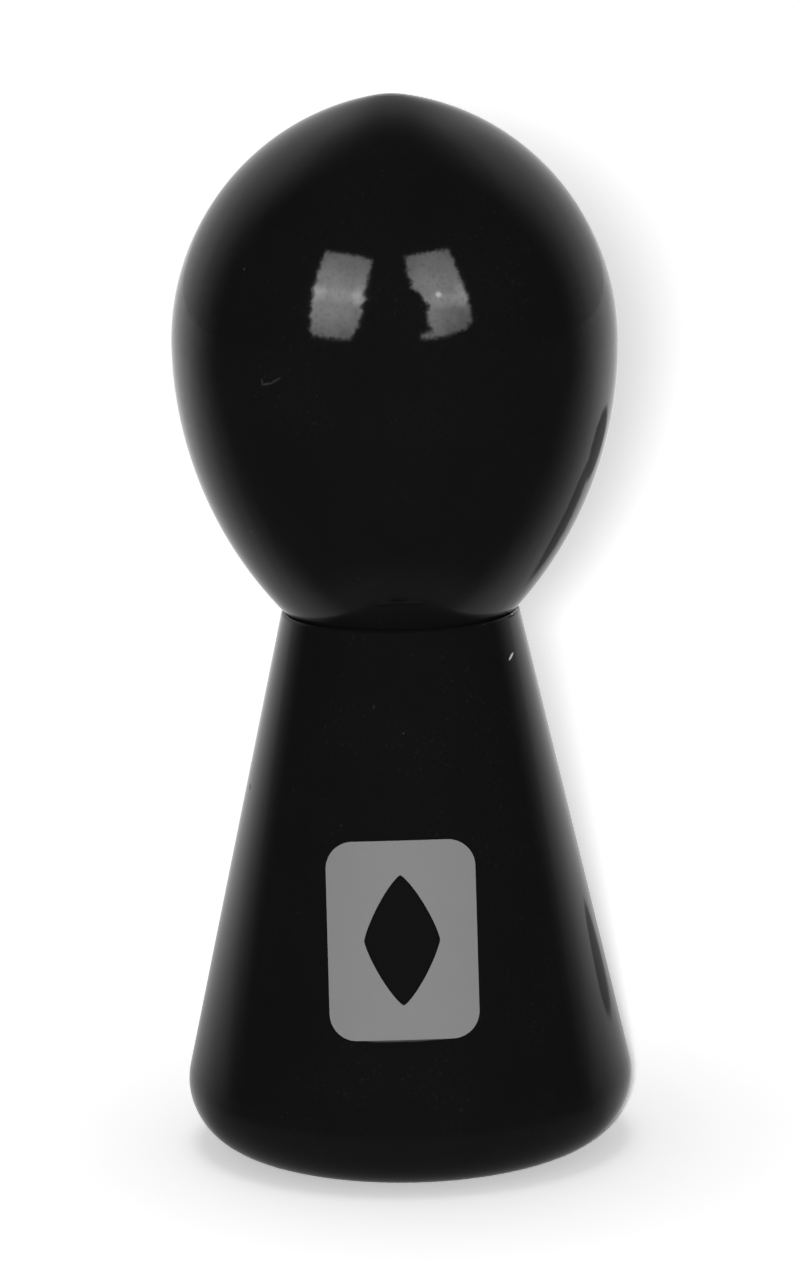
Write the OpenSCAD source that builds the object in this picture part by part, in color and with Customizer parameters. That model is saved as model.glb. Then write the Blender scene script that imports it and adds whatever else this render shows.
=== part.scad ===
// Turned playing figure: an egg-shaped head seated in the dished collar of a
// tapering body, pinned by a fluted dowel, with a metal slug and a felt disc in
// the foot and a thin label wrapped on the front.
// The axis is Z, the felt's underside is at zero and the label faces -Y.

/* [Head] */
// Diameter of the head at its widest
head_d = 25; // [21:0.5:30]
// Height from the seat's rim up to the head's widest place
cheek_h = 15.15; // [12:0.05:19]
// How much taller the crown is than half a ball
crown_point = 1.35; // [0:0.05:5]
// Radius of the blunt tip
nose_r = 5; // [2:0.5:8]

/* [Body] */
// Height of the collar's rim above the table
body_h = 31; // [28:0.5:45]
// Outer diameter of the collar
collar_d = 13.5; // [12:0.1:16]
// How far the head stands in from the collar's outside where it enters it
collar_edge = 0.15; // [0.1:0.05:0.5]
// Radius of the collar's rounded lip
lip_r = 0.25; // [0.1:0.05:0.5]
// How much wider the foot is than the head
foot_over = 0.4; // [0:0.1:6]
// Radius of the rounded foot edge
foot_r = 3.6; // [2:0.1:4.5]

/* [Seat] */
// Depth of the dish that the head sits in
seat_depth = 1.8; // [1:0.1:2.5]
// Room for glue between the head's cheek and the dish
glue_gap = 0.05; // [0.02:0.01:0.15]

/* [Dowel] */
// Diameter of the dowel over its ribs
dowel_d = 5; // [4:0.5:6]
// Length of the dowel
dowel_l = 22; // [16:1:24]
// Length of the dowel that stands in the body
dowel_sunk = 11; // [8:0.5:12]
// Bevel at each end of the dowel
dowel_bevel = 0.5; // [0.3:0.1:0.8]
// Flutes round the dowel
dowel_flutes = 12; // [6:1:16]
// Radius of the tool that cuts a flute
flute_r = 0.4; // [0.2:0.05:0.5]
// Depth of a flute
flute_depth = 0.2; // [0.1:0.05:0.3]
// Room round the dowel in its bores
dowel_room = 0.05; // [0.03:0.01:0.1]
// Room for glue past the dowel's top end
dowel_end_room = 0.8; // [0.3:0.1:1.5]
// Bevel at the mouth of each bore
bore_bevel = 0.4; // [0.2:0.1:0.6]

/* [Weight] */
// Diameter of the metal slug
weight_d = 12; // [9:0.5:13]
// Height of the metal slug
weight_h = 8; // [5:0.5:10]
// Bevel round both ends of the slug
weight_bevel = 0.5; // [0.2:0.1:1]
// Room for glue round the slug and above it
weight_room = 0.1; // [0.05:0.05:0.3]

/* [Felt] */
// Thickness of the felt disc
felt_t = 1; // [0.8:0.1:1.5]
// How far the felt stands out below the foot
felt_proud = 0.1; // [0.05:0.05:0.3]
// Wooden rim left between the felt's recess and the rounded foot edge
felt_rim = 0.6; // [0.3:0.1:1.5]
// Room round the felt in its recess
felt_room = 0.1; // [0.05:0.05:0.3]

/* [Label] */
// Width of the label
label_w = 8.3; // [6:0.1:10]
// Height of the label along the side
label_h = 11; // [8:0.1:14]
// Radius of the label's corners
label_r = 1.5; // [0.5:0.1:3]
// Thickness of the label
label_t = 0.1; // [0.05:0.05:0.3]
// Thickness of the label's glue
label_glue = 0.03; // [0.02:0.01:0.05]
// Height of the label's middle above the table
label_z = 14.3; // [13:0.1:17]
// How far the label is turned out of true, in degrees
label_turn = 0.8; // [-3:0.1:3]

/* [Hidden] */
// Overrun that every cut shares
cut = 1;
$fn = 128;

// A point that lies a distance along a bearing from another
function off(p, dist, bearing) = p + dist * [cos(bearing), sin(bearing)];

// Head: its cheek is one arc, upright at the widest place and ending at the neck
head_r = head_d / 2;
neck_r = collar_d / 2 - collar_edge;
waist = head_r - neck_r;
cheek_r = (waist * waist + cheek_h * cheek_h) / (2 * waist);
widest_z = body_h + cheek_h;
seat_z = body_h - seat_depth;
cheek_c = [head_r - cheek_r, widest_z];

// Its crown is one arc too, upright at the widest place, that runs smoothly
// into the blunt tip
nose_h = head_r + crown_point - nose_r;
crown_r = (head_r * head_r + nose_h * nose_h - nose_r * nose_r) / (2 * (head_r - nose_r));
crown_c = [head_r - crown_r, widest_z];
nose_c = [0, widest_z + nose_h];
nose_join = off(nose_c, nose_r, atan2(nose_h, -crown_c.x));

// Body: its side is the straight line that touches the lip and the foot edge
foot_c = [(head_d + foot_over) / 2 - foot_r, felt_proud + foot_r];
lip_c = [collar_d / 2 - lip_r, body_h - lip_r];
rise = lip_c - foot_c;
side_tilt = atan2(rise.y, rise.x) - acos((foot_r - lip_r) / norm(rise));
foot_join = off(foot_c, foot_r, side_tilt);
lip_join = off(lip_c, lip_r, side_tilt);

// Radius of the side at a height
function side_at(z) = foot_join.x - (z - foot_join.y) * tan(side_tilt);

// Fits
bore_r = dowel_d / 2 + dowel_room;
dowel_z = seat_z - dowel_sunk;
head_bore = dowel_l - dowel_sunk + dowel_end_room;
felt_r = foot_c.x - felt_rim - felt_room;
pocket_r = weight_d / 2 + weight_room;

// Part of a round that lies between two bearings less than 180 degrees apart
module slice(c, r, from, to) {
    mid = (from + to) / 2;
    reach = 2 * r;
    intersection() {
        translate(c) circle(r);
        polygon([c, off(c, reach, from), off(c, reach, mid), off(c, reach, to)]);
    }
}

// Half outline of the head, or of the room that its cheek needs
module cheek_outline(grow, low, high) {
    intersection() {
        translate(cheek_c) circle(cheek_r + grow);
        translate([0, low]) square([head_d, high - low]);
    }
}

module crown_outline() {
    intersection() {
        translate(crown_c) circle(crown_r);
        translate([0, widest_z]) square([head_d, nose_join.y - widest_z]);
    }
    intersection() {
        translate(nose_c) circle(nose_r);
        translate([0, nose_join.y]) square([nose_r, nose_r]);
    }
}

// Half outline of the body, before anything is cut out of it
module body_outline() {
    polygon([
        [0, felt_proud], [foot_c.x, felt_proud], foot_c, foot_join,
        lip_join, lip_c, [lip_c.x, body_h], [0, body_h]
    ]);
    slice(foot_c, foot_r, -90, side_tilt);
    slice(lip_c, lip_r, side_tilt, 90);
}

// Blind bore for the dowel, with its mouth bevelled, from the seat's floor
module dowel_bore(depth) {
    translate([0, 0, -cut]) cylinder(r = bore_r, h = depth + cut);
    cylinder(r1 = bore_r + bore_bevel, r2 = bore_r, h = bore_bevel);
}

module head() {
    color([0.05, 0.05, 0.05])
    difference() {
        rotate_extrude() {
            cheek_outline(0, seat_z, widest_z);
            crown_outline();
        }
        translate([0, 0, seat_z]) dowel_bore(head_bore);
    }
}

module body() {
    color([0.06, 0.06, 0.06])
    difference() {
        rotate_extrude() body_outline();
        rotate_extrude() cheek_outline(glue_gap, seat_z, body_h + cut);
        translate([0, 0, seat_z]) mirror([0, 0, 1]) dowel_bore(dowel_sunk);
        translate([0, 0, felt_proud - cut]) cylinder(r = felt_r + felt_room, h = felt_t - felt_proud + cut);
        cylinder(r = pocket_r, h = felt_t + weight_h + weight_room);
    }
}

// The dowel's flutes run its whole length between the ribs
module neck_dowel() {
    color([0.80, 0.64, 0.42])
    translate([0, 0, dowel_z])
    difference() {
        rotate_extrude() polygon([
            [0, 0], [dowel_d / 2 - dowel_bevel, 0], [dowel_d / 2, dowel_bevel],
            [dowel_d / 2, dowel_l - dowel_bevel], [dowel_d / 2 - dowel_bevel, dowel_l], [0, dowel_l]
        ]);
        for (i = [0 : dowel_flutes - 1])
            rotate([0, 0, i * 360 / dowel_flutes])
                translate([dowel_d / 2 + flute_r - flute_depth, 0, -cut])
                    cylinder(r = flute_r, h = dowel_l + 2 * cut);
    }
}

// Rectangle with round corners, about its middle
module round_rect(w, h, r) {
    square([w - 2 * r, h], center = true);
    square([w, h - 2 * r], center = true);
    for (x = [-1, 1], y = [-1, 1])
        translate([x * (w / 2 - r), y * (h / 2 - r)]) circle(r);
}

// Ring of the side's own taper, from a depth of glue out to a further one
module side_ring(inner, outer) {
    low = [side_at(label_z - label_h), label_z - label_h];
    high = [side_at(label_z + label_h), label_z + label_h];
    polygon([
        off(low, inner, side_tilt), off(low, outer, side_tilt),
        off(high, outer, side_tilt), off(high, inner, side_tilt)
    ]);
}

// The label is cut square to the side, where its middle lies
module label() {
    color([0.52, 0.52, 0.52])
    intersection() {
        rotate_extrude() side_ring(label_glue, label_glue + label_t);
        translate([0, -side_at(label_z), label_z])
            rotate([90 - side_tilt, 0, 0])
                rotate([0, 0, label_turn])
                    translate([0, 0, -label_w / 2])
                        linear_extrude(label_w) round_rect(label_w, label_h, label_r);
    }
}

module base_weight() {
    color([0.60, 0.61, 0.63])
    translate([0, 0, felt_t])
    rotate_extrude() polygon([
        [0, 0], [weight_d / 2 - weight_bevel, 0], [weight_d / 2, weight_bevel],
        [weight_d / 2, weight_h - weight_bevel], [weight_d / 2 - weight_bevel, weight_h], [0, weight_h]
    ]);
}

module base_felt() {
    color([0.13, 0.13, 0.13])
    cylinder(r = felt_r, h = felt_t);
}

head();
body();
neck_dowel();
label();
base_weight();
base_felt();
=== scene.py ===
import math
import random

import bmesh
import bpy
from mathutils import Matrix, Vector


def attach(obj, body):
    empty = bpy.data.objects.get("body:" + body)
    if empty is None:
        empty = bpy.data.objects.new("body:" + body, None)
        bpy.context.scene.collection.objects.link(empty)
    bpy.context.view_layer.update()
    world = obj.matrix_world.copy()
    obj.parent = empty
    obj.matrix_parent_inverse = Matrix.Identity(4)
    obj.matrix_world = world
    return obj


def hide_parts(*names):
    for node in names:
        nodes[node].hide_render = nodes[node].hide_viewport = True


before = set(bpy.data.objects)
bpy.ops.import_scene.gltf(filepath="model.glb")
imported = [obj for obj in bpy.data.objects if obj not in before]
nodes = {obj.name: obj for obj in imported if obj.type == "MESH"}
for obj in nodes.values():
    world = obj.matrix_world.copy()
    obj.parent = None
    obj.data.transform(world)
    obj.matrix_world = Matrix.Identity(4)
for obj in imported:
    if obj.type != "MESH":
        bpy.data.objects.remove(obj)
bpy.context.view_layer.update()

# Lengths are in millimetres where no comment says otherwise, and MM turns one into the frame's metres
MM = 0.001
PER_METRE = 1000.0
scene = bpy.context.scene

# ---------------------------------------------------------------- sizes that the solids have
HEAD_R, WIDEST_Z, CROWN_POINT, NOSE_R = 12.5, 46.15, 1.35, 5.0
NOSE_H = HEAD_R + CROWN_POINT - NOSE_R
CROWN_R = (HEAD_R ** 2 + NOSE_H ** 2 - NOSE_R ** 2) / (2 * (HEAD_R - NOSE_R))
SIDE_TILT, FOOT_JOIN = math.radians(12.571), (12.614, 4.484)
LABEL_Z, LABEL_TURN = 14.3, math.radians(0.8)
LABEL_TOP = 0.13                    # from the body's side out to the label's face
FELT_R, FELT_T = 8.4, 1.0
FELT_LOW = 0.02                     # the felt's underside without its fuzz


def side_at(z):
    """The radius of the body's side at a height."""
    return FOOT_JOIN[0] - (z - FOOT_JOIN[1]) * math.tan(SIDE_TILT)


# ---------------------------------------------------------------- the photograph's camera
PHOTO_W, PHOTO_H = 800, 1276
VIEW_TURN = math.radians(1.64)      # the camera stands this far round to the right of the label's middle
CAM_DIST, CAM_H = 300.0, 90.8       # along the floor from the axis, and above it
PX_PER_MM = 18.056                  # at the axis
FOCAL_PX = PX_PER_MM * CAM_DIST
AXIS_Z, AXIS_PX = 30.0, (400.8, 624.0)      # a point of the axis, and where the photograph shows it
ROLL = math.radians(1.22)           # the photograph is turned by this
SENSOR = 36.0
CLIP_NEAR, CLIP_FAR = 0.01, 30.0    # metres


def turned(x, y, z=0.0):
    """A point given with the camera straight in front, turned to where the camera stands."""
    return Matrix.Rotation(VIEW_TURN, 3, "Z") @ Vector((x, y, z))


cam_at = turned(0, -CAM_DIST, CAM_H)
cam_data = bpy.data.cameras.new("camera")
cam_data.sensor_fit = "AUTO"
cam_data.sensor_width = SENSOR
cam_data.lens = FOCAL_PX / PHOTO_H * SENSOR
cam_data.clip_start, cam_data.clip_end = CLIP_NEAR, CLIP_FAR
camera = bpy.data.objects.new("camera", cam_data)
scene.collection.objects.link(camera)
scene.camera = camera

# Aimed at the axis, rolled, then swung so that the axis point falls on its own pixel
aim = (turned(0, 0, AXIS_Z) - cam_at).normalized()
facing = aim.to_track_quat("-Z", "Y").to_matrix() @ Matrix.Rotation(-ROLL, 3, "Z")
swing_x = math.atan((AXIS_PX[0] - PHOTO_W / 2) / FOCAL_PX)
swing_y = math.atan((AXIS_PX[1] - PHOTO_H / 2) / FOCAL_PX)
facing = facing @ Matrix.Rotation(swing_x, 3, "Y") @ Matrix.Rotation(swing_y, 3, "X")
camera.matrix_world = Matrix.Translation(cam_at * MM) @ facing.to_4x4()


def sight(px, py):
    """The line of sight through a pixel of the photograph."""
    return (facing @ Vector((px - PHOTO_W / 2, PHOTO_H / 2 - py, -FOCAL_PX))).normalized()


# Where along a line of sight the crown is looked for: from before the axis to past it, in steps
CROWN_FROM, CROWN_TO, CROWN_STEP = CAM_DIST - 30.0, CAM_DIST + 40.0, 0.02


def crown_hit(px, py):
    """Where the line of sight meets the head's crown, and the surface's normal there."""
    d = sight(px, py)
    t = CROWN_FROM
    while t < CROWN_TO:
        p = cam_at + d * t
        up = p.z - WIDEST_Z
        if 0 < up < CROWN_R:
            r = HEAD_R - CROWN_R + math.sqrt(CROWN_R ** 2 - up ** 2)
            rho = math.hypot(p.x, p.y)
            if rho <= r:
                out = r - HEAD_R + CROWN_R
                return p, Vector((p.x / rho * out, p.y / rho * out, up)).normalized()
        t += CROWN_STEP
    raise ValueError("that line of sight misses the crown")


# ---------------------------------------------------------------- help for materials
class Nodes:
    """A material's node tree, with short ways to add nodes to it."""

    def __init__(self, name):
        self.mat = bpy.data.materials.new(name)
        self.mat.use_nodes = True
        self.begin(self.mat.node_tree, "ShaderNodeOutputMaterial", "Object")

    def begin(self, tree, output, coordinates):
        self.tree = tree
        tree.nodes.clear()
        self.out = self.add(output)
        self.where = self.add("ShaderNodeTexCoord").outputs[coordinates]

    def add(self, kind, **settings):
        node = self.tree.nodes.new(kind)
        for name, value in settings.items():
            setattr(node, name, value)
        return node

    def put(self, value, socket):
        if isinstance(value, bpy.types.NodeSocket):
            self.tree.links.new(value, socket)
        else:
            socket.default_value = value

    def math(self, how, a, b=0.0, clamp=False):
        node = self.add("ShaderNodeMath", operation=how, use_clamp=clamp)
        self.put(a, node.inputs[0])
        self.put(b, node.inputs[1])
        return node.outputs[0]

    def plus(self, a, b):
        return self.math("ADD", a, b)

    def times(self, a, b):
        return self.math("MULTIPLY", a, b)

    def apart(self, vector):
        """x, y and z of a vector."""
        node = self.add("ShaderNodeSeparateXYZ")
        self.put(vector, node.inputs[0])
        return tuple(node.outputs)

    def length(self, vector):
        node = self.add("ShaderNodeVectorMath", operation="LENGTH")
        self.put(vector, node.inputs[0])
        return node.outputs["Value"]

    def placed(self, at=(0, 0, 0), stretch=(1, 1, 1)):
        """The place on the piece in millimetres, stretched and moved."""
        place = self.add("ShaderNodeMapping")
        place.inputs["Location"].default_value = at
        place.inputs["Scale"].default_value = [PER_METRE * s for s in stretch]
        self.put(self.where, place.inputs["Vector"])
        return place.outputs[0]

    def noise(self, scale, stretch=(1, 1, 1), detail=2.0, rough=0.5, at=(0, 0, 0)):
        """Noise whose pattern repeats about scale times a millimetre. Another at gives another pattern."""
        node = self.add("ShaderNodeTexNoise", noise_dimensions="3D")
        self.put(self.placed(at, stretch), node.inputs["Vector"])
        node.inputs["Scale"].default_value = scale
        node.inputs["Detail"].default_value = detail
        node.inputs["Roughness"].default_value = rough
        return node.outputs["Fac"]

    def span(self, value, low, high, to_low=0.0, to_high=1.0, smooth=True):
        node = self.add("ShaderNodeMapRange", interpolation_type="SMOOTHSTEP" if smooth else "LINEAR")
        names = ("Value", "From Min", "From Max", "To Min", "To Max")
        for v, name in zip((value, low, high, to_low, to_high), names):
            self.put(v, node.inputs[name])
        return node.outputs["Result"]

    def blend(self, share, a, b):
        node = self.add("ShaderNodeMix", data_type="RGBA")
        self.put(share, node.inputs["Factor"])
        for v, name in ((a, "A"), (b, "B")):
            socket = next(s for s in node.inputs if s.name == name and s.type == "RGBA")
            self.put((*v, 1.0) if isinstance(v, tuple) else v, socket)
        return next(s for s in node.outputs if s.type == "RGBA")

    def bump(self, height, depth, under=None):
        """Relief of this depth in millimetres, on top of the relief under it."""
        node = self.add("ShaderNodeBump")
        node.inputs["Strength"].default_value = 1.0
        node.inputs["Distance"].default_value = depth * MM
        self.put(height, node.inputs["Height"])
        if under is not None:
            self.put(under, node.inputs["Normal"])
        return node.outputs["Normal"]

    def spot(self, at, half, turn=(0, 0, 0), soft=0.5):
        """1 inside an ellipsoid about a point, and 0 outside it past a soft edge."""
        place = self.add("ShaderNodeMapping", vector_type="TEXTURE")
        place.inputs["Location"].default_value = [v * MM for v in at]
        place.inputs["Rotation"].default_value = turn
        place.inputs["Scale"].default_value = [v * MM for v in half]
        self.put(self.where, place.inputs["Vector"])
        return self.span(self.length(place.outputs[0]), 1.0, 1.0 + soft, 1.0, 0.0)

    def shade(self, colour, rough, normal, **fixed):
        """The material, once the shader has its colour, roughness and relief, and the numbers fixed on it."""
        node = self.add("ShaderNodeBsdfPrincipled")
        self.put(colour, node.inputs["Base Color"])
        self.put(rough, node.inputs["Roughness"])
        self.put(normal, node.inputs["Normal"])
        for name, value in fixed.items():
            node.inputs[name.replace("_", " ")].default_value = value
        return self.show(node.outputs[0])

    def glow(self, strength):
        node = self.add("ShaderNodeEmission")
        self.put(strength, node.inputs["Strength"])
        return node.outputs[0]

    def mix(self, share, a, b):
        node = self.add("ShaderNodeMixShader")
        for value, socket in zip((share, a, b), node.inputs):
            self.put(value, socket)
        return node.outputs[0]

    def show(self, shader):
        self.put(shader, self.out.inputs["Surface"])
        return self.mat


def grey(v):
    return (v, v, v)


# ---------------------------------------------------------------- lacquer
LACQUER_IOR = 1.25
LACQUER_BLACK = 0.0033
LACQUER_ROUGH = (0.050, 0.070)
# The relief of the orange peel, of the wood's grain, of the lines from turning, and of dust, as scale and depth
PEEL_SCALE, PEEL_DEPTH = 0.42, 0.0016
GRAIN_SCALE, GRAIN_DEPTH = 1.5, 0.0006
LINE_SCALE, LINE_DEPTH = 7.0, 0.00012
DUST_SCALE, DUST_DEPTH = 0.45, 0.006
# A speck of dust's size in its cell, how few cells hold one, and its colour, share and dullness
DUST_EDGE, DUST_RARE = (0.02, 0.045), 0.72
DUST_GREY, DUST_SHARE, DUST_DULL = 0.025, 0.55, 0.25


def lacquer(name, seed, marks):
    """Gloss black lacquer over turned wood. marks are (point, half sizes, turn, brightness, dullness)."""
    n = Nodes(name)
    cloud = n.noise(0.25, at=(seed, 0, 0), detail=3.0)
    colour = n.blend(cloud, grey(LACQUER_BLACK * 0.85), grey(LACQUER_BLACK * 1.15))
    speckle = n.span(n.noise(4.5, at=(seed, 2, 0), detail=2.0), 0.60, 0.75)
    colour = n.blend(n.times(speckle, n.span(cloud, 0.35, 0.65)), colour, grey(LACQUER_BLACK * 1.9))
    rough = n.span(n.noise(1.1, at=(0, seed, 0), detail=4.0), 0.3, 0.8, *LACQUER_ROUGH)
    # Fine rubbing lines from turning and polishing run round the axis
    lines = n.noise(LINE_SCALE, stretch=(0.03, 0.03, 1.0), at=(seed, seed, 0), detail=2.0)
    rough = n.plus(rough, n.span(lines, 0.55, 0.8, 0.0, 0.02))
    # Dust that the lacquer caught while it was wet
    cells = n.add("ShaderNodeTexVoronoi", feature="F1", distance="EUCLIDEAN")
    n.put(n.placed(at=(seed * 3.7, seed, 0)), cells.inputs["Vector"])
    cells.inputs["Scale"].default_value = DUST_SCALE
    pick = n.add("ShaderNodeSeparateColor")
    n.put(cells.outputs["Color"], pick.inputs[0])
    near = n.span(cells.outputs["Distance"], *DUST_EDGE, 1.0, 0.0)
    dust = n.times(near, n.math("GREATER_THAN", pick.outputs[0], DUST_RARE))
    colour = n.blend(n.times(dust, DUST_SHARE), colour, grey(DUST_GREY))
    rough = n.plus(rough, n.times(dust, DUST_DULL))
    for at, half, turn, bright, dull in marks:
        there = n.spot(at, half, turn)
        colour = n.blend(there, colour, grey(bright))
        rough = n.plus(rough, n.times(there, dull))
    # The lacquer flows out smooth, so the relief is very slight, and the grain under it runs along the axis
    normal = n.bump(n.noise(PEEL_SCALE, at=(0, 0, seed), detail=1.0), PEEL_DEPTH)
    grain = n.noise(GRAIN_SCALE, stretch=(1.0, 1.0, 0.07), at=(0, seed, seed), detail=3.0)
    for height, depth in ((grain, GRAIN_DEPTH), (lines, LINE_DEPTH), (dust, DUST_DEPTH)):
        normal = n.bump(height, depth, normal)
    return n.shade(colour, rough, normal, IOR=LACQUER_IOR)


# ---------------------------------------------------------------- the other materials, their colours first
LABEL_DARK, LABEL_LIGHT, LABEL_CLOUD = grey(0.143), grey(0.152), grey(0.140)
INK_DARK, INK_LIGHT = grey(0.0029), grey(0.0048)
BEECH_LIGHT, BEECH_DARK, BEECH_FLECK = (0.60, 0.40, 0.20), (0.48, 0.29, 0.13), (0.30, 0.16, 0.07)
STEEL_CLEAN, STEEL_STAINED = (0.52, 0.52, 0.54), (0.42, 0.41, 0.41)


def label_film():
    n = Nodes("label_film")
    fibre = n.noise(6.0, at=(3, 0, 0), detail=3.0)
    cloud = n.noise(0.35, at=(0, 5, 0), detail=2.0)
    colour = n.blend(fibre, LABEL_DARK, LABEL_LIGHT)
    colour = n.blend(n.span(cloud, 0.3, 0.7, 0.0, 0.25), colour, LABEL_CLOUD)
    rough = n.span(fibre, 0.2, 0.8, 0.62, 0.72)
    return n.shade(colour, rough, n.bump(fibre, 0.003), IOR=1.4, Specular_IOR_Level=0.12)


def ink():
    n = Nodes("label_ink")
    fine = n.noise(9.0, at=(7, 7, 0), detail=3.0)
    colour = n.blend(fine, INK_DARK, INK_LIGHT)
    rough = n.span(fine, 0.2, 0.8, 0.5, 0.62)
    return n.shade(colour, rough, n.bump(fine, 0.002), IOR=1.3, Specular_IOR_Level=0.1)


def beech():
    n = Nodes("beech")
    grain = n.noise(1.4, stretch=(1.0, 1.0, 0.06), at=(2, 0, 0), detail=6.0, rough=0.6)
    flecks = n.noise(5.0, stretch=(1.0, 1.0, 0.22), at=(0, 4, 0), detail=2.0)
    colour = n.blend(n.span(grain, 0.3, 0.7), BEECH_LIGHT, BEECH_DARK)
    colour = n.blend(n.span(flecks, 0.62, 0.70, 0.0, 0.6), colour, BEECH_FLECK)
    rough = n.span(grain, 0.2, 0.8, 0.55, 0.7)
    return n.shade(colour, rough, n.bump(grain, 0.02), IOR=1.45)


def turned_steel():
    n = Nodes("turned_steel")
    x, y, z = n.apart(n.where)
    flat = n.add("ShaderNodeCombineXYZ")
    n.put(x, flat.inputs[0])
    n.put(y, flat.inputs[1])
    # The tool's lines go round the axis, on the ends as on the side
    lines = n.add("ShaderNodeTexNoise", noise_dimensions="1D")
    n.put(n.times(n.plus(n.length(flat.outputs[0]), z), PER_METRE), lines.inputs["W"])
    lines.inputs["Scale"].default_value = 9.0
    lines.inputs["Detail"].default_value = 2.0
    stain = n.noise(0.3, at=(1, 9, 0), detail=3.0)
    colour = n.blend(n.span(stain, 0.35, 0.75), STEEL_CLEAN, STEEL_STAINED)
    rough = n.span(stain, 0.3, 0.8, 0.32, 0.48)
    return n.shade(colour, rough, n.bump(lines.outputs["Fac"], 0.01), Metallic=1.0)


def felt_wool(name, dark, light):
    n = Nodes(name)
    across = n.noise(5.0, stretch=(1.0, 0.18, 1.0), at=(1, 0, 0), detail=3.0)
    along = n.noise(5.0, stretch=(0.18, 1.0, 1.0), at=(0, 1, 0), detail=3.0)
    cloud = n.noise(0.5, at=(5, 2, 0), detail=2.0)
    hair = n.math("MAXIMUM", across, along)
    colour = n.blend(n.span(hair, 0.45, 0.75), grey(dark), grey(light))
    colour = n.blend(n.span(cloud, 0.35, 0.7, 0.0, 0.4), colour, grey(dark))
    rough = n.span(hair, 0.3, 0.8, 0.85, 0.98)
    return n.shade(colour, rough, n.bump(hair, 0.05), IOR=1.4, Sheen_Weight=0.25, Sheen_Roughness=0.5)


def stroke(a, b, half, bright, dull):
    """A mark in the lacquer from one point to another."""
    a, b = Vector(a), Vector(b)
    along = b - a
    return (a + b) / 2, (along.length / 2, half, half), along.to_track_quat("X", "Z").to_euler(), bright, dull


# A fine curled fibre under the head's lacquer
HEAD_MARKS = [
    stroke((-6.96, -10.37, 45.74), (-6.89, -10.40, 45.45), 0.055, 0.014, 0.1),
    stroke((-6.90, -10.40, 45.44), (-6.43, -10.70, 45.54), 0.055, 0.017, 0.1),
    stroke((-6.43, -10.70, 45.55), (-5.95, -10.99, 45.86), 0.055, 0.014, 0.1),
]
# A white fleck near the collar, a tiny run, a nick at the side and a faint grey line along the label's lower edge
BODY_MARKS = [
    stroke((6.13, -3.80, 28.66), (6.33, -3.37, 28.91), 0.055, 0.45, 0.4),
    stroke((-1.38, -7.47, 26.96), (-1.38, -7.52, 26.76), 0.045, 0.010, 0.2),
    stroke((-8.68, -1.95, 21.30), (-8.64, -2.10, 21.00), 0.080, 0.002, 0.5),
    stroke((-1.81, -11.50, 8.86), (0.07, -11.63, 8.89), 0.060, 0.036, 0.3),
    stroke((0.30, -11.63, 8.89), (2.72, -11.28, 8.96), 0.075, 0.032, 0.3),
]
HEAD_SEED, BODY_SEED = 11.0, 29.0
for node_name, material in (
    ("head", lacquer("head_lacquer", HEAD_SEED, HEAD_MARKS)),
    ("body", lacquer("body_lacquer", BODY_SEED, BODY_MARKS)),
    ("label", label_film()),
    ("neck_dowel", beech()),
    ("base_weight", turned_steel()),
):
    nodes[node_name].data.materials.clear()
    nodes[node_name].data.materials.append(material)

# ---------------------------------------------------------------- the label's printed sign, a plain lozenge
SIGN_W, SIGN_H, SIGN_POWER = 4.2, 7.2, 1.25
SIGN_RINGS, SIGN_STEPS = 12, 160
INK_LOW, INK_T = 0.001, 0.012       # above the label's face
SIDE_TRIES = 12


def on_side(u, v, lift):
    """A point of the label's plane, u across and v up, carried square to the side out to lift above it."""
    c, s = math.cos(LABEL_TURN), math.sin(LABEL_TURN)
    x, y = u * c - v * s, u * s + v * c
    up = Vector((0, math.sin(SIDE_TILT), math.cos(SIDE_TILT)))
    out = Vector((0, -math.cos(SIDE_TILT), math.sin(SIDE_TILT)))
    base = Vector((x, -side_at(LABEL_Z), LABEL_Z)) + up * y
    w = 0.0
    for _ in range(SIDE_TRIES):
        p = base + out * w
        w += (side_at(p.z) + lift / math.cos(SIDE_TILT) - math.hypot(p.x, p.y)) * math.cos(SIDE_TILT)
    return (base + out * w) * MM


def sign_edge(i, share):
    """A point of the lozenge's outline, or of a smaller one inside it."""
    a = 2 * math.pi * i / SIGN_STEPS
    c, s = math.cos(a), math.sin(a)
    r = share / (abs(c) ** SIGN_POWER + abs(s) ** SIGN_POWER) ** (1 / SIGN_POWER)
    return SIGN_W / 2 * r * c, SIGN_H / 2 * r * s


def mesh_object(name, bm, material, smooth=True):
    mesh = bpy.data.meshes.new(name)
    bmesh.ops.recalc_face_normals(bm, faces=bm.faces)
    bm.to_mesh(mesh)
    bm.free()
    for p in mesh.polygons:
        p.use_smooth = smooth
    obj = bpy.data.objects.new(name, mesh)
    obj.data.materials.append(material)
    scene.collection.objects.link(obj)
    return obj


def make_sign():
    bm = bmesh.new()
    rims = []
    for lift in (LABEL_TOP + INK_LOW, LABEL_TOP + INK_T):
        rings = []
        for k in range(1, SIGN_RINGS + 1):
            places = [on_side(*sign_edge(i, k / SIGN_RINGS), lift) for i in range(SIGN_STEPS)]
            rings.append([bm.verts.new(place) for place in places])
        middle = bm.verts.new(on_side(0, 0, lift))
        for i in range(SIGN_STEPS):
            j = (i + 1) % SIGN_STEPS
            bm.faces.new((middle, rings[0][i], rings[0][j]))
            for low, high in zip(rings, rings[1:]):
                bm.faces.new((low[i], high[i], high[j], low[j]))
        rims.append(rings[-1])
    for i in range(SIGN_STEPS):
        j = (i + 1) % SIGN_STEPS
        bm.faces.new((rims[0][i], rims[0][j], rims[1][j], rims[1][i]))
    return mesh_object("label_sign", bm, ink())


sign = make_sign()
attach(sign, "root")

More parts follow.
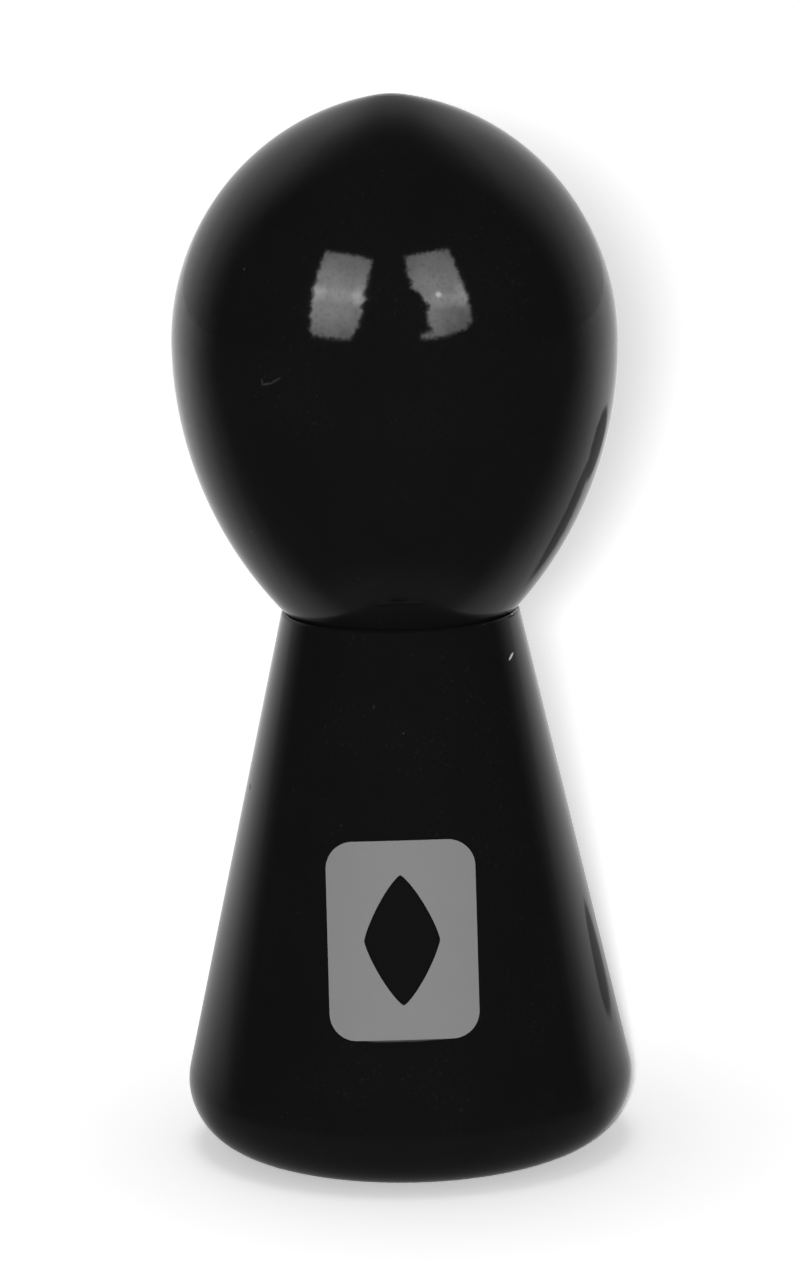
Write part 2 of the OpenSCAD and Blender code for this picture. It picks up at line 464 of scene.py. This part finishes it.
# ---------------------------------------------------------------- felt
FELT_STEPS, FELT_STEP = 252, 0.21   # points round a ring, and from ring to ring on the underside
FELT_TOP_RINGS = 8
FELT_UNDER, FELT_FUZZ = FELT_LOW + 0.02, 0.035
FELT_TOP = FELT_T - 0.01
# The cut edge from the bottom up: how far in from the rim, how high, how rough
FELT_EDGE = [
    (0.03, FELT_LOW + 0.05, 0.03), (0.0, FELT_LOW + 0.13, 0.03),
    (0.0, 0.3, 0.05), (0.0, 0.5, 0.05), (0.0, 0.7, 0.05),
    (0.0, FELT_T - 0.08, 0.02), (0.05, FELT_T - 0.02, 0.01),
]
# How ragged the cut is: the waves round it, their size, how far in they lie, and how soon they fade inwards
RAG_WAVES, RAG_SIZE, RAG_INSET, RAG_FADE = range(3, 40), 0.02, 0.05, 8
FELT_GREYS, HAIR_GREYS = (0.010, 0.024), (0.02, 0.05)
HAIRS, HAIR_JOINTS = 420, 7
HAIR_ROOM, HAIR_END = 1.0, 0.12     # from the rim to where a hair may start, and to where it stops
HAIR_WIDE, HAIR_STEP, HAIR_BEND = (0.014, 0.024), (0.10, 0.20), 0.5
HAIR_Z, HAIR_WAVE, HAIR_WAVES = 0.028, 0.010, 1.3
HAIR_CORNERS, HAIR_FLAT = (0.5, 2.6, 4.7), 0.6
rnd = random.Random(7)


def make_felt():
    """A disc cut from pressed felt: a level, hairy underside, a slightly ragged cut edge and a flat top."""
    bm = bmesh.new()
    ragged = [0.0] * FELT_STEPS
    for wave in RAG_WAVES:
        size, lag = RAG_SIZE / math.sqrt(wave), rnd.uniform(0, 2 * math.pi)
        for i in range(FELT_STEPS):
            ragged[i] += size * math.sin(wave * 2 * math.pi * i / FELT_STEPS + lag)

    def ring(r, z, rough):
        found = []
        for i in range(FELT_STEPS):
            a = 2 * math.pi * i / FELT_STEPS
            far = r + (r / FELT_R) ** RAG_FADE * (ragged[i] - RAG_INSET)
            lift = rough * (rnd.random() - 0.5)
            found.append(bm.verts.new(Vector((far * math.cos(a), far * math.sin(a), z + lift)) * MM))
        return found

    count = int(FELT_R / FELT_STEP)
    rings = [ring(FELT_R * k / count, FELT_UNDER, FELT_FUZZ) for k in range(1, count)]
    rings += [ring(FELT_R - inset, z, rough) for inset, z, rough in FELT_EDGE]
    rings += [ring(FELT_R * k / FELT_TOP_RINGS, FELT_TOP, 0.0) for k in range(FELT_TOP_RINGS - 1, 0, -1)]
    for low, high in zip(rings, rings[1:]):
        for i in range(FELT_STEPS):
            j = (i + 1) % FELT_STEPS
            bm.faces.new((low[i], low[j], high[j], high[i]))
    for end, z in ((rings[0], FELT_UNDER), (rings[-1], FELT_TOP)):
        middle = bm.verts.new((0, 0, z * MM))
        for i in range(FELT_STEPS):
            bm.faces.new((middle, end[i], end[(i + 1) % FELT_STEPS]))
    return mesh_object("felt_disc", bm, felt_wool("felt_wool", *FELT_GREYS))


def make_hairs():
    """Loose fibres pressed into the felt's underside."""
    bm = bmesh.new()
    for _ in range(HAIRS):
        r = (FELT_R - HAIR_ROOM) * math.sqrt(rnd.random())
        a, heading = rnd.uniform(0, 2 * math.pi), rnd.uniform(0, 2 * math.pi)
        bend = rnd.uniform(-HAIR_BEND, HAIR_BEND)
        p = Vector((r * math.cos(a), r * math.sin(a), 0))
        width, step = rnd.uniform(*HAIR_WIDE), rnd.uniform(*HAIR_STEP)
        loops = []
        for k in range(HAIR_JOINTS):
            across = Vector((-math.sin(heading), math.cos(heading), 0))
            if math.hypot(p.x, p.y) > FELT_R - HAIR_END:
                break
            z = HAIR_Z + HAIR_WAVE * math.sin(k * HAIR_WAVES + a)
            loop = []
            for t in HAIR_CORNERS:
                up = Vector((0, 0, z + HAIR_FLAT * width * math.sin(t)))
                loop.append(bm.verts.new((p + across * width * math.cos(t) + up) * MM))
            loops.append(loop)
            p = p + Vector((math.cos(heading), math.sin(heading), 0)) * step
            heading += bend / 2
        for one, two in zip(loops, loops[1:]):
            for i in range(3):
                j = (i + 1) % 3
                bm.faces.new((one[i], one[j], two[j], two[i]))
        if len(loops) > 1:
            bm.faces.new(loops[0])
            bm.faces.new(loops[-1])
    return mesh_object("felt_hairs", bm, felt_wool("felt_hair", *HAIR_GREYS))


felt = make_felt()
hairs = make_hairs()
for piece in (felt, hairs):
    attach(piece, "root")
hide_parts("base_felt")

# ---------------------------------------------------------------- floor
FLOOR_R, FLOOR_STEPS = 6.0, 96      # metres, and points round it
PAPER = 0.80
# What the paper shows: more light the further out, up to a distance in metres
PAPER_LIFT, PAPER_RISE, PAPER_FAR = 1.30, 1.95, 0.65
# Painted reflections: what the lacquer mirrors of the paper glows, dark in front of the object and bright behind it
FRONT_LIGHT, BACK_LIGHT = 0.10, 1.04
# Close to the foot and a hand's width off, in metres from the axis
CLOSE, OFF = 0.018, 0.26
# A painted shadow of the object in the paper's mirrored glow, behind it to the right: where, half sizes, turn, soft
# edge and light left
SHADE_AT, SHADE_HALF, SHADE_TURN = (55.5, 66, 0), (10, 27, 500), (0, 0, math.radians(-41))
SHADE_SOFT, SHADE_LEFT = 0.35, 0.36


def parts(n, where):
    """x, y and z of a vector, and the length of its level part."""
    x, y, z = n.apart(where)
    level = n.math("SQRT", n.plus(n.times(x, x), n.times(y, y)))
    return x, y, z, n.math("MAXIMUM", level, 1e-5)


def make_floor():
    bm = bmesh.new()
    bmesh.ops.create_circle(bm, cap_ends=True, cap_tris=True, segments=FLOOR_STEPS, radius=FLOOR_R)
    n = Nodes("paper")
    path = n.add("ShaderNodeLightPath")
    _, y, _, far = parts(n, n.where)
    # 0 close to the foot and 1 a hand's width off
    growth = n.math("LOGARITHM", n.math("DIVIDE", far, CLOSE), math.e)
    out = n.math("DIVIDE", growth, math.log(OFF / CLOSE), clamp=True)
    # How far behind the object the light starts to grow and is full, and the least and the most of it
    low = n.span(out, 0.0, 1.0, -0.32, 0.13, smooth=False)
    high = n.span(out, 0.0, 0.55, 0.31, 0.78, smooth=False)
    least = n.span(out, 0.0, 0.15, 0.23, FRONT_LIGHT, smooth=False)
    most = n.span(out, 0.25, 1.0, 0.60, BACK_LIGHT)
    # The paper's glow for mirrored rays is painted reflection, and the object's shadow is painted into it
    mirrored = n.span(n.math("DIVIDE", y, far), low, high, least, most)
    shade = n.spot(SHADE_AT, SHADE_HALF, SHADE_TURN, soft=SHADE_SOFT)
    mirrored = n.times(mirrored, n.span(shade, 0.0, 1.0, 1.0, SHADE_LEFT, smooth=False))
    seen = n.times(PAPER_LIFT, n.plus(1.0, n.times(n.math("MINIMUM", far, PAPER_FAR), PAPER_RISE)))
    white = n.plus(PAPER, n.times(path.outputs["Is Camera Ray"], n.math("SUBTRACT", seen, PAPER)))
    bright = n.add("ShaderNodeCombineColor")
    for socket in bright.inputs:
        n.put(white, socket)
    matt = n.add("ShaderNodeBsdfDiffuse")
    n.put(bright.outputs[0], matt.inputs["Color"])
    n.show(n.mix(path.outputs["Is Glossy Ray"], matt.outputs[0], n.glow(mirrored)))
    return mesh_object("floor", bm, n.mat, smooth=False)


make_floor()

# ---------------------------------------------------------------- room
AMBIENT, BACKDROP = 0.32, 1.1       # the light that the room gives, and what the camera sees of it


class WorldNodes(Nodes):
    def __init__(self, world):
        world.use_nodes = True
        self.begin(world.node_tree, "ShaderNodeOutputWorld", "Generated")


def make_room():
    """Even light, but the lacquer mirrors a bright low rear with a dimmer gap in its middle."""
    world = bpy.data.worlds.new("room")
    scene.world = world
    n = WorldNodes(world)
    path = n.add("ShaderNodeLightPath")
    x, y, z, level = parts(n, n.where)
    rear = n.span(n.math("DIVIDE", y, level), 0.13, 0.78)
    low_down = n.span(z, 0.66, 0.99, 1.0, 0.0)
    gap = n.times(n.span(n.math("ABSOLUTE", x), 0.05, 0.30, 1.0, 0.0), n.span(z, 0.05, 0.45))
    rear = n.times(n.times(rear, low_down), n.span(gap, 0.0, 1.0, 1.0, 0.45, smooth=False))
    mirrored = n.span(rear, 0.0, 1.0, FRONT_LIGHT, BACK_LIGHT, smooth=False)
    other = n.span(path.outputs["Is Camera Ray"], 0.0, 1.0, AMBIENT, BACKDROP, smooth=False)
    lit = n.add("ShaderNodeMix", data_type="FLOAT")
    n.put(path.outputs["Is Glossy Ray"], lit.inputs["Factor"])
    n.put(other, lit.inputs["A"])
    n.put(mirrored, lit.inputs["B"])
    back = n.add("ShaderNodeBackground")
    n.put(lit.outputs[0], back.inputs["Strength"])
    n.put(back.outputs[0], n.out.inputs["Surface"])


make_room()


# ---------------------------------------------------------------- lamps, which light the label and the paper
def make_lamp(name, at, towards, across, power, even=False):
    """An oval soft lamp, in watts, aimed at a point or straight down. An even one doesn't weaken with distance."""
    light = bpy.data.lights.new(name, "AREA")
    light.shape = "ELLIPSE"
    light.size, light.size_y = across[0] * MM, across[1] * MM
    light.energy = power
    lamp = bpy.data.objects.new(name, light)
    scene.collection.objects.link(lamp)
    place = Matrix.Translation(Vector(at) * MM)
    if towards is not None:
        place = place @ (Vector(towards) - Vector(at)).to_track_quat("-Z", "Y").to_matrix().to_4x4()
    lamp.matrix_world = place
    lamp.visible_glossy = lamp.visible_camera = False
    if even:
        light.use_nodes = True
        tree = light.node_tree
        falloff = tree.nodes.new("ShaderNodeLightFalloff")
        falloff.inputs["Strength"].default_value = 1.0
        shine = next(node for node in tree.nodes if node.type == "EMISSION")
        tree.links.new(falloff.outputs["Constant"], shine.inputs["Strength"])


# A small one beside the lens, which throws the halo on the paper, and a wide one above, for the foot's shadow
make_lamp("lens_lamp", turned(-4.2, -CAM_DIST, CAM_H + 2.0), (0, 0, AXIS_Z), (11.0, 8.5), 12.2, even=True)
make_lamp("top_lamp", (-14, 36, 300), None, (150.0, 290.0), 0.19)

# ---------------------------------------------------------------- painted reflections of two windows: glowing cards that only the lacquer sees, which light nothing
CARD_DIST, CARD_FACES_Z = 80.0, 52.0        # from the crown, and the height on the axis that a card faces
# How wide a window's soft edge is and how far outside it starts, and how fine its ragged line is, in pixels
CARD_EDGE, CARD_GROW, CARD_RAG = 5.5, 2.0, 3.2
# Outlines, and spots as (x, y, half width, half height, gain), all in the photograph's pixels
LEFT_WINDOW = [
    (325.5, 251), (374, 259.5), (366, 292), (361.5, 323), (348.5, 341), (311, 336), (309, 327), (314, 280), (321, 257),
]
LEFT_SPOTS = [(320, 290, 3.6, 2.8, 0.34), (357, 296, 2.2, 4.0, 0.40)]
RIGHT_WINDOW = [
    (404, 257), (425, 252), (450.5, 249), (458, 268), (465, 286), (470, 309), (472, 321), (466, 331), (443, 337.5),
    (429, 340), (420, 340), (419, 332), (430, 328), (426, 319), (427, 306), (420, 297), (411, 289.5), (405.5, 272),
]
RIGHT_SPOTS = [
    (438.5, 294.5, 1.3, 1.3, 1.9), (459, 288, 2.0, 2.6, 0.18), (430, 268, 12.0, 9.0, 0.14), (456, 318, 9.0, 8.0, -0.24),
]
LEFT_GLOW, RIGHT_GLOW = 14.2, 12.6


def card_glow(name, tall, pixel, spots, brightness):
    """A window's light: brightest along its middle, cloudy, with spots, and fading out at its edge.
    spots are (x, y, half width, half height, gain) on the card."""
    n = Nodes(name)
    band = n.math("ABSOLUTE", n.math("DIVIDE", n.apart(n.where)[1], tall))
    glow = n.plus(n.span(band, 0.0, 0.47, 1.08, 0.60), n.span(band, 0.02, 0.11, 0.36, 0.0))
    cloud = n.noise(0.045, at=(4, 4, 4), detail=3.0)
    glow = n.times(glow, n.span(cloud, 0.3, 0.7, 0.85, 1.15))
    for x, y, wide, high, gain in spots:
        glow = n.plus(glow, n.times(n.spot((x, y, 0), (wide, high, 50), soft=2.0), gain))
    inside = n.add("ShaderNodeAttribute", attribute_type="GEOMETRY", attribute_name="inside")
    ragged = n.noise(MM / (CARD_RAG * pixel), at=(6, 1, 2), detail=2.0)
    share = n.plus(inside.outputs["Fac"], n.span(ragged, 0.3, 0.7, -0.25, 0.25))
    glow = n.times(glow, n.math("POWER", n.span(share, 0.0, 0.9, smooth=False), 2.0))
    return n.show(n.glow(n.times(glow, brightness)))


def make_card(name, outline, spots, brightness):
    """A glowing card whose mirror image in the crown has this outline in the photograph."""
    mirrored = []
    for px, py in outline + [q for x, y, w, h, _ in spots for q in ((x, y), (x + w, y), (x, y + h))]:
        p, normal = crown_hit(px, py)
        d = sight(px, py)
        mirrored.append((p, d - 2 * d.dot(normal) * normal))
    middle = Vector((0, 0, 0))
    for p, d in mirrored[:len(outline)]:
        middle += p + d * CARD_DIST
    middle /= len(outline)
    towards = (Vector((0, 0, CARD_FACES_Z)) - middle).normalized()
    turn = towards.to_track_quat("Z", "Y").to_matrix()
    # The outline on the card, and after it each spot's middle, side and top, in metres
    flat = []
    for p, d in mirrored:
        hit = p + d * ((middle - p).dot(towards) / d.dot(towards))
        flat.append(turn.inverted() @ (hit - middle) * MM)
    tall = max(v.y for v in flat) - min(v.y for v in flat)
    pixel = tall / (max(py for _, py in outline) - min(py for _, py in outline))
    grow = 1 + 2 * CARD_GROW * pixel / tall
    bm = bmesh.new()
    inside = bm.verts.layers.float.new("inside")
    face = bm.faces.new([bm.verts.new((v.x * grow, v.y * grow, 0)) for v in flat[:len(outline)]])
    face.normal_update()
    bmesh.ops.inset_region(bm, faces=[face], thickness=CARD_EDGE * pixel, use_boundary=True, use_even_offset=True)
    for v in max(bm.faces, key=lambda f: len(f.verts)).verts:
        v[inside] = 1.0
    card_spots = []
    for k, spot in enumerate(spots):
        v, side, top = flat[len(outline) + 3 * k:][:3]
        card_spots.append((v.x / MM, v.y / MM, (side - v).length / MM, (top - v).length / MM, spot[4]))
    card = mesh_object(name, bm, card_glow(name + "_glow", tall, pixel, card_spots, brightness), smooth=False)
    card.matrix_world = Matrix.Translation(middle * MM) @ turn.to_4x4()
    card.visible_camera = card.visible_diffuse = card.visible_shadow = False


make_card("window_left", LEFT_WINDOW, LEFT_SPOTS, LEFT_GLOW)
make_card("window_right", RIGHT_WINDOW, RIGHT_SPOTS, RIGHT_GLOW)


# ---------------------------------------------------------------- flags: dim glowing cards which only the lacquer mirrors, part of the painted reflections
FLAG_SOFT = 0.35


def make_flag(name, corners, glow, oval=None):
    """A card that hides what lies behind it. With an oval (middle, half sizes, turn) only that much of it is there."""
    bm = bmesh.new()
    bm.faces.new([bm.verts.new(Vector(c) * MM) for c in corners])
    n = Nodes(name)
    shine = n.glow(glow)
    if oval is not None:
        shine = n.mix(n.spot(*oval, soft=FLAG_SOFT), n.add("ShaderNodeBsdfTransparent").outputs[0], shine)
    n.show(shine)
    flag = mesh_object(name, bm, n.mat, smooth=False)
    flag.visible_camera = flag.visible_diffuse = flag.visible_shadow = flag.visible_transmission = False


# A level dim card in front of the head, part of the painted reflections, keeps the windows out of the collar's lip
FRONT_HALF, FRONT_NEAR, FRONT_FAR, FRONT_Z = 50, -13, -66, 47
make_flag("flag_front", [
    (-FRONT_HALF, FRONT_NEAR, FRONT_Z), (FRONT_HALF, FRONT_NEAR, FRONT_Z),
    (FRONT_HALF, FRONT_FAR, FRONT_Z), (-FRONT_HALF, FRONT_FAR, FRONT_Z),
], FRONT_LIGHT)

# An upright one, an oval whose top leans along its width, paints the upper part of the dark streak in the head's right
# side, a painted reflection of the object's shadow
STREAK_AT, STREAK_ALONG = Vector((21.4, 14.0, 34.5)), Vector((0.8, -0.6, 0)).normalized()
STREAK_HALF, STREAK_LEAN, STREAK_GLOW = (3.2, 3, 3.0), 0.25, 0.26
STREAK_CARD = (2.2 * STREAK_HALF[0], 1.6 * STREAK_HALF[2])      # half the card's width and height
streak_turn = (0, STREAK_LEAN, math.atan2(STREAK_ALONG.y, STREAK_ALONG.x))
streak_corners = [
    STREAK_AT + STREAK_ALONG * STREAK_CARD[0] * u + Vector((0, 0, STREAK_CARD[1] * v))
    for u, v in ((-1, -1), (1, -1), (1, 1), (-1, 1))
]
make_flag("flag_side", streak_corners, STREAK_GLOW, (STREAK_AT, STREAK_HALF, streak_turn))

# ---------------------------------------------------------------- colours as the photograph holds them
scene.view_settings.view_transform = "Standard"
scene.view_settings.look = "None"
scene.view_settings.exposure = 0.0
scene.view_settings.gamma = 1.0
